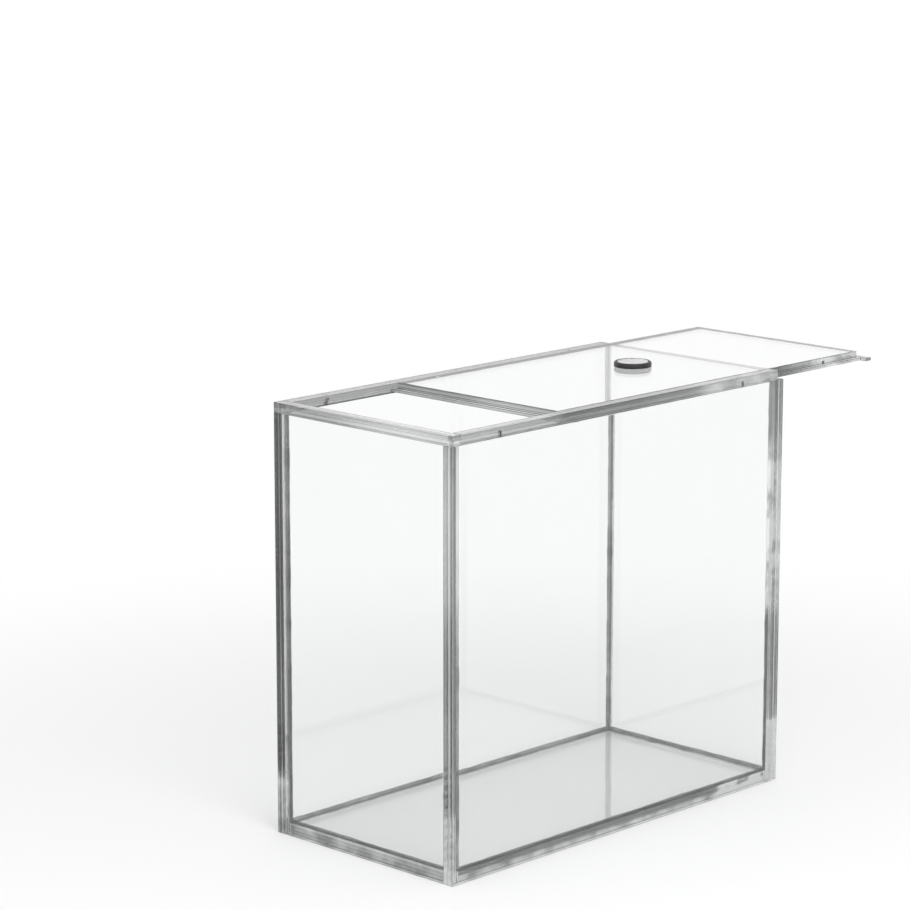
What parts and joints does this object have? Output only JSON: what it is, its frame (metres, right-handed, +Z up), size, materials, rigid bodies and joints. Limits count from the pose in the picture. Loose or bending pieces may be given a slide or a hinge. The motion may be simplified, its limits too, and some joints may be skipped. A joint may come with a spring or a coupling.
{
  "type": "acrylic display case",
  "caption": "Clear acrylic display case for a boxed collectible: glued sheet walls, slotted top rails and a lid that slides out over one end, held shut by small magnets.",
  "frame": {"origin": "centre of the case's underside, on the surface that it stands on", "axes": "+Z up, +X along the long side towards the end where the lid slides out, +Y from the front wall to the back wall"},
  "size_m": [0.26, 0.1, 0.1822],
  "materials": {
    "clear_acrylic": "clear cast acrylic, polished faces, satin sawn edges",
    "magnet_nickel": "nickel plated",
    "badge_black": "satin",
    "badge_white": "satin"
  },
  "bodies": {
    "case": {"base_panel": "clear_acrylic", "front_wall": "clear_acrylic", "back_wall": "clear_acrylic", "left_end_wall": "clear_acrylic", "right_end_wall": "clear_acrylic", "front_rail": "clear_acrylic", "back_rail": "clear_acrylic", "end_rail": "clear_acrylic", "front_rail_magnet_left": "magnet_nickel", "front_rail_magnet_right": "magnet_nickel", "back_rail_magnet_left": "magnet_nickel", "back_rail_magnet_right": "magnet_nickel"},
    "lid": {"lid_panel": "clear_acrylic", "front_lid_magnet_left": "magnet_nickel", "front_lid_magnet_right": "magnet_nickel", "back_lid_magnet_left": "magnet_nickel", "back_lid_magnet_right": "magnet_nickel", "badge_base": "badge_black", "badge_face": "badge_white"}
  },
  "joints": [
    {"name": "lid_slide", "type": "slide", "parent": "case", "child": "lid", "axis": [1, 0, 0], "range_m": [-0.06, 0.138]}
  ]
}
